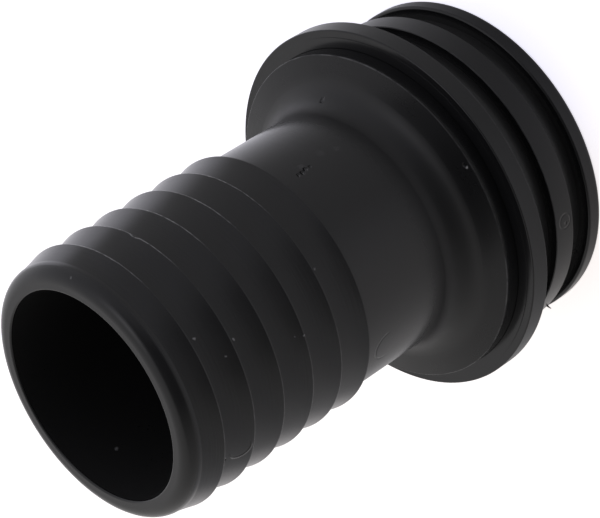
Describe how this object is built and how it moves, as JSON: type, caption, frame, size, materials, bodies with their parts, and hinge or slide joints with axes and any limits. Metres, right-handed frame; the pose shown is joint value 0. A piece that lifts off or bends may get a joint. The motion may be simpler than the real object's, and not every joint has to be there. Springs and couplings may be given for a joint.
{
  "type": "straight hose connector",
  "caption": "Straight moulded hose connector: a barbed tail for a hose, a flared flange, and a spigot with a groove for a retaining fork and one for a sealing ring.",
  "frame": {"origin": "centre of the spigot's end face, which the part stands on", "axes": "+Z along the bore's axis, from the spigot's end face to the mouth of the hose tail; the part is turned about Z, so X and Y are free"},
  "size_m": [0.0754, 0.0754, 0.102],
  "materials": {
    "black_plastic": "moulded black polypropylene, satin with a soft sheen"
  },
  "bodies": {
    "root": {"hose_connector": "black_plastic"}
  },
  "joints": []
}
